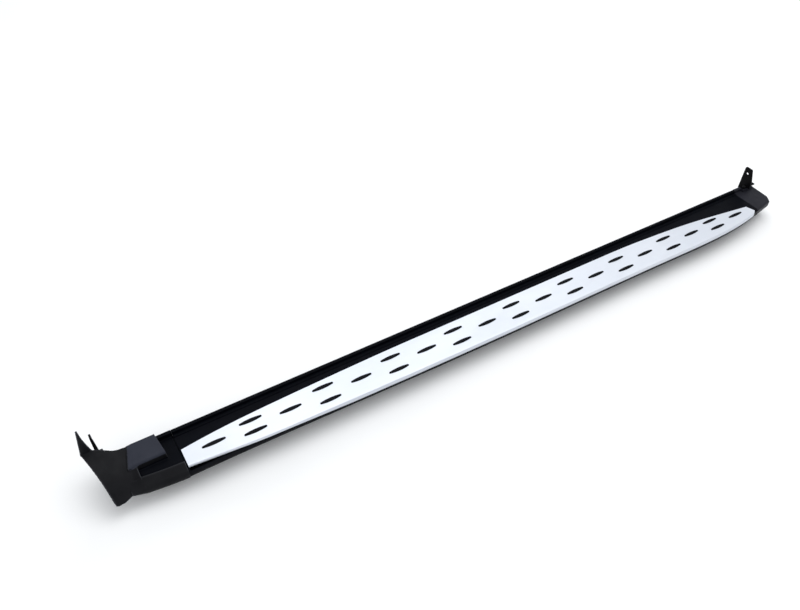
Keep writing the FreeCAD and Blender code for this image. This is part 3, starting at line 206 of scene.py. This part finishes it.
def coated_steel(name):
    """Black powder coat: orange-peel surface with a little dust in its tone."""
    material, tree, shader = new_material(name)
    tone = blended(tree, noise(tree, 70.0, 5.0), (0.0016, 0.0016, 0.002), (0.0034, 0.0034, 0.004))
    tree.links.new(tone, shader.inputs["Base Color"])
    tree.links.new(ranged(tree, noise(tree, 300.0, 4.0), 0.38, 0.55), shader.inputs["Roughness"])
    socket_set(shader, Specular_IOR_Level=0.05)
    bumped(tree, shader, [(noise(tree, 520.0, 2.0), 0.0003, 0.5), (noise(tree, 2600.0), 0.00006, 0.3)])
    return material


def rubber(name, dark, light):
    material, tree, shader = new_material(name)
    tree.links.new(blended(tree, noise(tree, 90.0, 5.0), dark, light), shader.inputs["Base Color"])
    tree.links.new(ranged(tree, noise(tree, 700.0, 4.0), 0.55, 0.75), shader.inputs["Roughness"])
    socket_set(shader, Specular_IOR_Level=0.08)
    bumped(tree, shader, [(noise(tree, 1500.0, 3.0), 0.00012, 0.5)])
    return material


def make_materials():
    deck = moulded_plastic("deck_satin_plastic", (0.0009, 0.0013, 0.0028), (0.0017, 0.0023, 0.0044),
                           1500.0, 0.00009, (0.36, 0.5), 0.035)
    # The cap's last colour is the painted highlight on its sharp edges, such as the lip's crest.
    cap = moulded_plastic("cap_grained_plastic", (0.0042, 0.0044, 0.0056), (0.0075, 0.0077, 0.0094),
                          1100.0, 0.00016, (0.42, 0.56), 0.09, (0.05, 0.052, 0.06))
    # Painted sheen: a lighter slate copy for the block's up-facing faces, for the bright light they catch
    # from above.
    block_sheen = moulded_plastic("cap_block_painted_sheen", (0.019, 0.0215, 0.032), (0.026, 0.029, 0.042),
                            1700.0, 0.00006, (0.4, 0.5), 0.12)
    # Painted sheen: the front cap gets a lighter copy of the cap plastic, for the light its faces catch from
    # above.
    end = moulded_plastic("front_cap_grained_painted_sheen", (0.0095, 0.0098, 0.0145), (0.0145, 0.015, 0.021),
                          1100.0, 0.00014, (0.44, 0.58), 0.12)
    cover = moulded_plastic("cover_plain_plastic", (0.011, 0.0115, 0.0125), (0.017, 0.0175, 0.019),
                            800.0, 0.00012, (0.55, 0.7), 0.28)
    return {
        "deck_plastic": deck,
        "cap_plastic": cap,
        "block_top_sheen": block_sheen,
        "front_end": end,
        "cover_plastic": cover,
        "tread_metal": anodised_sheet("tread_satin_sheet"),
        "grip_rubber": rubber("grip_rubber", (0.0012, 0.0016, 0.003), (0.0024, 0.003, 0.0048)),
        "pad_rubber": rubber("pad_rubber", (0.008, 0.008, 0.0085), (0.014, 0.014, 0.0145)),
        "beam_metal": metal("beam_mill_aluminium", (0.72, 0.73, 0.75), (0.6, 0.61, 0.63), (0.28, 0.42),
                            (0.03, 1.0, 1.0)),
        "bracket_paint": coated_steel("bracket_powder_coat"),
        "zinc_steel": metal("fastener_zinc", (0.62, 0.64, 0.66), (0.46, 0.47, 0.5), (0.25, 0.45)),
        "black_steel": metal("fastener_black", (0.06, 0.06, 0.065), (0.035, 0.035, 0.04), (0.35, 0.55)),
    }


MATERIALS = make_materials()
SLOT_OF = {part["node"]: part["material_slot"] for part in frame["record"]["subparts"]}


def dress_nodes():
    for name, thing in NODES.items():
        # The front cap gets its lighter copy of the cap plastic: painted sheen.
        finish = MATERIALS["front_end" if name == "front_cap" else SLOT_OF[name]]
        if not thing.material_slots:
            thing.data.materials.append(finish)
        for slot in thing.material_slots:
            slot.material = finish


# ---------------------------------------------------------------- camera, light and floor

CAMERA_PLACE = Vector((-0.9179, -1.0084, 1.2933))
CAMERA_AZIMUTH = math.radians(-32.234)
CAMERA_ELEVATION = math.radians(44.704)
CAMERA_ROLL = math.radians(1.598)
LENS = 33.205
FLOOR_SIZE = 14.0


def make_camera():
    flat, steep = math.cos(CAMERA_ELEVATION), math.sin(CAMERA_ELEVATION)
    back = Vector((math.sin(CAMERA_AZIMUTH) * flat, -math.cos(CAMERA_AZIMUTH) * flat, steep))
    level = Vector((math.cos(CAMERA_AZIMUTH), math.sin(CAMERA_AZIMUTH), 0.0))
    upward = back.cross(level)
    right = level * math.cos(CAMERA_ROLL) + upward * math.sin(CAMERA_ROLL)
    upward = back.cross(right)
    lens = bpy.data.cameras.new("camera")
    lens.lens = LENS
    camera = bpy.data.objects.new("camera", lens)
    turn = Matrix((right, upward, back)).transposed().to_4x4()
    camera.matrix_world = Matrix.Translation(CAMERA_PLACE) @ turn
    bpy.context.collection.objects.link(camera)
    bpy.context.scene.camera = camera


def area_light(name, place, target, size, power, colour=(1.0, 1.0, 1.0)):
    light = bpy.data.lights.new(name, "AREA")
    light.shape = "RECTANGLE"
    light.size, light.size_y = size
    light.energy = power
    light.color = colour
    lamp = bpy.data.objects.new(name, light)
    lamp.location = place
    lamp.rotation_euler = (Vector(target) - Vector(place)).to_track_quat("-Z", "Y").to_euler()
    bpy.context.collection.objects.link(lamp)


def make_lights():
    world = bpy.data.worlds.new("studio")
    world.use_nodes = True
    sky = world.node_tree.nodes["Background"]
    sky.inputs["Color"].default_value = (0.96, 0.98, 1.0, 1.0)
    sky.inputs["Strength"].default_value = 0.78
    bpy.context.scene.world = world
    area_light("overhead", (0.55, 0.4, 2.9), (0.3, 0.0, 0.0), (3.6, 2.2), 50.0)
    area_light("front_left", (-2.4, -1.9, 1.9), (-0.3, 0.0, 0.0), (1.8, 1.4), 9.0, (1.0, 0.99, 0.97))
    area_light("back_rim", (1.2, 2.6, 1.5), (0.2, 0.0, 0.0), (2.4, 1.0), 20.0, (0.96, 0.98, 1.0))


def make_floor():
    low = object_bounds()[0]
    bpy.ops.mesh.primitive_grid_add(x_subdivisions=8, y_subdivisions=8, size=FLOOR_SIZE,
                                    location=(0.0, 0.0, low.z))
    floor = bpy.context.object
    floor.name = "floor"
    material, tree, shader = new_material("pale_floor")
    tree.links.new(blended(tree, noise(tree, 2.0, 3.0), (0.87, 0.875, 0.88), (0.91, 0.912, 0.915)),
                   shader.inputs["Base Color"])
    tree.links.new(ranged(tree, noise(tree, 30.0, 4.0), 0.75, 0.9), shader.inputs["Roughness"])
    socket_set(shader, Specular_IOR_Level=0.1)
    floor.data.materials.append(material)


# ---------------------------------------------------------------- mesh helpers

REAR_END = DECK_LOW.x
BACK_EDGE = DECK_HIGH.y
SHARP_ANGLE = math.radians(35.0)


def rear_spot(along, out, up):
    """A place at the rear end: millimetres past the deck's end, outboard of its back and over the tread."""
    return Vector((REAR_END - along * MM, BACK_EDGE - out * MM, TREAD_TOP + up * MM))


def between(first, second, share):
    return first + (second - first) * share


def shares(count):
    """Even steps from 0 to 1."""
    return [step / count for step in range(count + 1)]


def arc(centre, radii, start, stop, steps):
    """Places (out, up) along part of an ellipse; its angles are in degrees, from outboard to up."""
    turns = [math.radians(between(start, stop, share)) for share in shares(steps)]
    return [(centre[0] + radii[0] * math.cos(turn), centre[1] + radii[1] * math.sin(turn)) for turn in turns]


def loft(mesh, rings):
    """A closed skin through rings of as many points each."""
    rows = [[mesh.verts.new(place) for place in ring] for ring in rings]
    count = len(rows[0])
    for row, following in zip(rows, rows[1:]):
        for index in range(count):
            after = (index + 1) % count
            mesh.faces.new((row[index], row[after], following[after], following[index]))
    for row in (rows[0], rows[-1]):
        mesh.faces.new(row)


def mesh_object(name, mesh):
    bmesh.ops.recalc_face_normals(mesh, faces=mesh.faces)
    data = bpy.data.meshes.new(name)
    mesh.to_mesh(data)
    mesh.free()
    thing = bpy.data.objects.new(name, data)
    bpy.context.collection.objects.link(thing)
    return thing


def settle(thing):
    """Applies the object's modifiers."""
    shown = thing.evaluated_get(bpy.context.evaluated_depsgraph_get())
    data = bpy.data.meshes.new_from_object(shown)
    thing.modifiers.clear()
    thing.data = data


def add_modifier(thing, kind, **settings):
    modifier = thing.modifiers.new(kind.lower(), kind)
    for name, value in settings.items():
        setattr(modifier, name, value)


def melt(thing, voxel, passes):
    """Joins overlapping closed skins into one, with soft corners where they meet."""
    add_modifier(thing, "REMESH", mode="VOXEL", voxel_size=voxel)
    add_modifier(thing, "SMOOTH", factor=0.5, iterations=passes)
    settle(thing)


def carve(thing, cutter):
    add_modifier(thing, "BOOLEAN", operation="DIFFERENCE", solver="EXACT", object=cutter)
    settle(thing)
    bpy.data.objects.remove(cutter)


def finish_piece(thing, slot, *replaced):
    thing.data.materials.clear()
    thing.data.materials.append(MATERIALS[slot])
    for face in thing.data.polygons:
        face.use_smooth = True
    thing.data.set_sharp_from_angle(angle=SHARP_ANGLE)
    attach(thing, BODY)
    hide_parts(*replaced)


# ---------------------------------------------------------------- rear cap

# All in millimetres, as rear_spot takes them.
FLAP_REACH = (REAR_END - REAR_LOW.x) / MM
FIN_TOP = (REAR_HIGH.z - TREAD_TOP) / MM
CAP_UNDER = (REAR_LOW.z - TREAD_TOP) / MM + 0.5
TAB_THICK = 4.0
TAB_FACE = (REAR_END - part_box("arch_tab")[0].x) / MM - TAB_THICK

JOINT_GAP = 0.3
RIM_WIDTH, RIM_RISE = 8.0, 7.0
POCKET_FLOOR, POCKET_END = -4.0, 84.0
TAIL_LENGTH, TAIL_BACK = 28.0, 30.0
LIP_CREST, LIP_SWEEP, LIP_RADIUS, LIP_RISE = 87.0, 7.5, 3.0, 1.5
NOSE_OUT, NOSE_LEVEL, NOSE_WIDE, NOSE_HIGH = 8.0, -18.0, 13.0, 13.5
TAIL_LEVEL, TAIL_HIGH, TAIL_LIP_DROP = -16.0, 4.5, 8.7
WALL_TOP, WALL_FALL, WALL_OUT, WALL_BASE = 13.0, 12.2, 80.0, -20.0
BLOCK_TOP, BLOCK_FRONT, BLOCK_SLOPE, BLOCK_ROUND = 16.0, 52.5, 3.0, 6.0
BLOCK_BACK_START, BLOCK_BACK_LENGTH = 32.5, 57.0
BLOCK_FRONT_START, BLOCK_FRONT_LENGTH = 25.5, 77.0
BLOCK_SINK, BLOCK_FOOT = 1.6, -8.0
FLAP_BACK, FLAP_FOOT_OUT, FLAP_TOP, FLAP_FOOT_DROP = 7.0, 100.0, 38.0, 21.0
FLAP_EDGE_RUN, FLAP_BOW, FLAP_BULGE, FLAP_HOLLOW, FLAP_DIP = 27.5, 0.3, 0.6, 2.4, 9.5
ROOT_START, ROOT_RUN, ROOT_OUT, ROOT_RISE, ROOT_DROP = 84.0, 20.0, 93.0, 13.0, 16.0
FLAP_THICK = 2.8
FIN_WIDTH, FIN_ROOT, FIN_TIP_WIDTH, FIN_LEAN = 24.5, 34.0, 4.0, 9.9
FIN_FACES = (-3.2, -6.8)
BOSS_DEPTH, BOSS_LOW, BOSS_TOP, BOSS_FRONT, BOSS_BACK = 9.7, -15.5, 8.7, 7.5, -23.7
RIB_TOP, RIB_BACK = 23.0, -3.7
HOLLOW_WALL, HOLLOW_FRONT, HOLLOW_BELOW = 3.5, 12.0, 12.0
HOLLOWS = ((3.3, 29.0), (31.5, 57.0), (59.5, 82.0))
FIN_INSET, FIN_TOP_INSET = 0.4, 0.5

VOXEL = 0.001
SMOOTH_PASSES = 7
# across * (1 - across) ** 2 is at most 4 / 27, so this brings its highest value to 1.
DIP_SCALE = 27.0 / 4.0


def lip_crest(along):
    """How far outboard the lip's crest is: it sweeps inboard towards the flap."""
    return LIP_CREST - LIP_SWEEP * (along / POCKET_END) ** 1.5


def front_profile(along, tail):
    """The section's seen side, over the lip and down the rounded nose; it flattens along the tail."""
    crest = lip_crest(along)
    lip = (crest - LIP_RADIUS, LIP_RISE - LIP_RADIUS - TAIL_LIP_DROP * tail)
    nose = (crest + NOSE_OUT, between(NOSE_LEVEL, TAIL_LEVEL, tail))
    nose_radii = (NOSE_WIDE, between(NOSE_HIGH, TAIL_HIGH, tail))
    return arc(lip, (LIP_RADIUS, LIP_RADIUS), 160.0, 65.0, 5) + arc(nose, nose_radii, 75.0, -90.0, 10)


def rear_body(mesh):
    """The base beside the deck with the pocket's floor, and the tail that runs out under the flap."""
    rings = []
    for share in shares(12):
        along = between(JOINT_GAP, POCKET_END, share)
        profile = front_profile(along, 0.0)
        floor_front = profile[0][0] - 2.0
        inner = [(0.0, RIM_RISE), (RIM_WIDTH, RIM_RISE),
                 (RIM_WIDTH, POCKET_FLOOR), (floor_front, POCKET_FLOOR)]
        rings.append([rear_spot(along, *place) for place in inner + profile + [(0.0, profile[-1][1])]])
    loft(mesh, rings)
    rings = []
    for share in shares(6):
        along = POCKET_END + TAIL_LENGTH * share
        profile = front_profile(along, share)
        low = profile[-1][1]
        closing = [(TAIL_BACK, low), (TAIL_BACK, low + TAIL_HIGH)]
        rings.append([rear_spot(along, *place) for place in profile + closing])
    loft(mesh, rings)


def root_up(down):
    """Height of the line where the flap runs into the cap."""
    return ROOT_RISE - (ROOT_RISE + ROOT_DROP) * down * down


def pocket_end(mesh):
    """The pocket's rear wall: it fills the space under the root of the flap."""
    places = [WALL_OUT * share for share in shares(12)]
    near = [(out, WALL_TOP - WALL_FALL * (out / WALL_OUT) ** 2) for out in places]
    far = [(out, root_up(out / ROOT_OUT) - 2.0) for out in places]
    foot = [(WALL_OUT, WALL_BASE), (0.0, WALL_BASE)]
    loft(mesh, [[rear_spot(POCKET_END + 1.0, *place) for place in near + foot],
                [rear_spot(POCKET_END + 19.0, *place) for place in far + foot]])


def raised_block(mesh):
    """The block on the back of the cap; it spreads along the cap towards its rounded front."""
    rings = []
    for share in shares(6):
        top = BLOCK_TOP - BLOCK_SINK * share ** 4
        start = BLOCK_BACK_START + BLOCK_BACK_LENGTH * share
        end = BLOCK_FRONT_START + BLOCK_FRONT_LENGTH * share
        shoulder = top - BLOCK_SLOPE - BLOCK_ROUND
        rounding = arc((BLOCK_FRONT - BLOCK_ROUND, shoulder), (BLOCK_ROUND, BLOCK_ROUND), 90.0, 0.0, 5)
        profile = [(0.0, BLOCK_FOOT), (0.0, top)] + rounding + [(BLOCK_FRONT + 3.0, BLOCK_FOOT)]
        rings.append([rear_spot(between(start, end, out / BLOCK_FRONT), out, up) for out, up in profile])
    loft(mesh, rings)


def soft_step(share):
    """Rises from 0 to 1 over the middle half of the share, level at both ends."""
    run = min(max(2.0 * share - 0.5, 0.0), 1.0)
    return run * run * (3.0 - 2.0 * run)


def flap_spot(down, across):
    """A place on the arch flap: down runs from its top to its foot, across from the wheel to the cap."""
    fall = (1.0 - FLAP_BULGE) * down + FLAP_BULGE * (1.0 - math.sqrt(1.0 - down * down))
    edge_along = FLAP_REACH - FLAP_EDGE_RUN * (1.0 + FLAP_BOW * (1.0 - down)) * down
    edge_out = between(-FLAP_BACK, FLAP_FOOT_OUT, down)
    edge_up = FLAP_TOP - (FLAP_TOP + FLAP_FOOT_DROP) * fall
    height = between((1.0 - across) ** FLAP_HOLLOW, 1.0 - soft_step(across), (1.0 - down) ** 2)
    dip = FLAP_DIP * down ** 4 * DIP_SCALE * across * (1.0 - across) ** 2
    return rear_spot(between(edge_along, ROOT_START + ROOT_RUN * down, across),
                     between(edge_out, ROOT_OUT * down, across),
                     between(root_up(down), edge_up, height) - dip)


def flap_sheet(mesh):
    """The flap's seen face, and the hidden one a sheet's thickness behind it."""
    sheet = bmesh.new()
    rows = []
    for share in shares(36):
        down = math.sin(share * math.pi / 2)
        rows.append([sheet.verts.new(flap_spot(down, across)) for across in shares(30)])
    for row, following in zip(rows, rows[1:]):
        for index in range(len(row) - 1):
            sheet.faces.new((row[index], row[index + 1], following[index + 1], following[index]))
    sheet.normal_update()
    side = -1.0 if rows[10][15].normal.z < 0 else 1.0
    rings = []
    for row in rows:
        hidden = [vert.co - vert.normal * side * FLAP_THICK * MM for vert in row]
        rings.append([vert.co.copy() for vert in row] + hidden[::-1])
    sheet.free()
    loft(mesh, rings)


def arch_fin(mesh):
    """The upright fin on the flap's back edge: straight at the wheel, bowed at the front."""
    rings = []
    rear_tip = FLAP_REACH - FIN_INSET - FIN_LEAN
    for share in shares(12):
        up = between(FIN_ROOT, FIN_TOP - FIN_TOP_INSET, share)
        rear = FLAP_REACH - FIN_INSET - FIN_LEAN * share
        front = between(FLAP_REACH - FIN_WIDTH, rear_tip - FIN_TIP_WIDTH, math.sin(share * math.pi / 2))
        corners = [(rear, FIN_FACES[0]), (front, FIN_FACES[0]), (front, FIN_FACES[1]), (rear, FIN_FACES[1])]
        rings.append([rear_spot(along, out, up) for along, out in corners])
    loft(mesh, rings)


def tab_boss(mesh):
    """The block behind the flap that the steel tab is screwed to, and the rib that joins it to the flap."""
    for back, top in ((BOSS_BACK, BOSS_TOP), (RIB_BACK, RIB_TOP)):
        near, far = TAB_FACE - 0.2, TAB_FACE - BOSS_DEPTH
        ring = [(near, back), (far, back), (far, BOSS_FRONT), (near, BOSS_FRONT)]
        loft(mesh, [[rear_spot(along, out, up) for along, out in ring] for up in (BOSS_LOW, top)])


def cap_hollow(start, stop):
    """What is taken out of the cap from below, between two of its ribs."""
    mesh = bmesh.new()
    rings = []
    roof, open_level = POCKET_FLOOR - HOLLOW_WALL, CAP_UNDER - HOLLOW_BELOW
    radii = (NOSE_WIDE - HOLLOW_WALL, NOSE_HIGH - HOLLOW_WALL)
    for along in (start, stop):
        crest = lip_crest(along)
        nose = arc((crest + NOSE_OUT, NOSE_LEVEL), radii, 70.0, -60.0, 6)
        roof_front = crest - HOLLOW_FRONT
        profile = [(HOLLOW_WALL, open_level), (HOLLOW_WALL, roof), (roof_front, roof)]
        profile += nose + [(nose[-1][0], open_level)]
        rings.append([rear_spot(along, out, up) for out, up in profile])
    loft(mesh, rings)
    return mesh_object("hollow", mesh)


def cap_place(face):
    """A face's middle, as rear_spot takes it."""
    middle = face.center
    return (REAR_END - middle.x) / MM, (BACK_EDGE - middle.y) / MM, (middle.z - TREAD_TOP) / MM


def on_block(face):
    """True for the block's top and its rounded front, the up-facing faces that get the painted sheen."""
    along, out, up = cap_place(face)
    share = min(max(out / BLOCK_FRONT, 0.0), 1.0)
    start = between(BLOCK_BACK_START, BLOCK_FRONT_START, share)
    end = start + between(BLOCK_BACK_LENGTH, BLOCK_FRONT_LENGTH, share)
    inside = start - 0.5 < along < end - 1.5 and -0.5 < out < BLOCK_FRONT + 1.0
    return inside and up > BLOCK_TOP - 8.0 - BLOCK_SLOPE * share and face.normal.z > 0.25


def in_pocket(face):
    """True for the faces that get the deck's darker plastic: the pocket's floor, and the rim and floor
    beside the deck.
    """
    along, out, up = cap_place(face)
    if along < JOINT_GAP or along > POCKET_END + 1.0 or out > lip_crest(along) - 2.0 * LIP_RADIUS:
        return False
    floor = POCKET_FLOOR - 1.0 < up < POCKET_FLOOR + 3.0
    rim = out < RIM_WIDTH + 0.8 and along < BLOCK_BACK_START - 1.0 and up > POCKET_FLOOR - 1.0
    return floor or rim


def make_rear_cap():
    mesh = bmesh.new()
    for shape in (rear_body, pocket_end, raised_block, flap_sheet, arch_fin, tab_boss):
        shape(mesh)
    cap = mesh_object("rear_cap_moulding", mesh)
    melt(cap, VOXEL, SMOOTH_PASSES)
    for start, stop in HOLLOWS:
        carve(cap, cap_hollow(start, stop))
    finish_piece(cap, "cap_plastic", "rear_cap")
    for finish in ("deck_plastic", "block_top_sheen"):
        cap.data.materials.append(MATERIALS[finish])
    # The block's up-facing faces get the painted sheen; the pocket and rim get the deck's plastic.
    for face in cap.data.polygons:
        face.material_index = 1 if in_pocket(face) else 2 if on_block(face) else 0


dress_nodes()
make_rear_cap()
make_floor()
make_lights()
make_camera()
bpy.context.scene.view_settings.view_transform = "Standard"
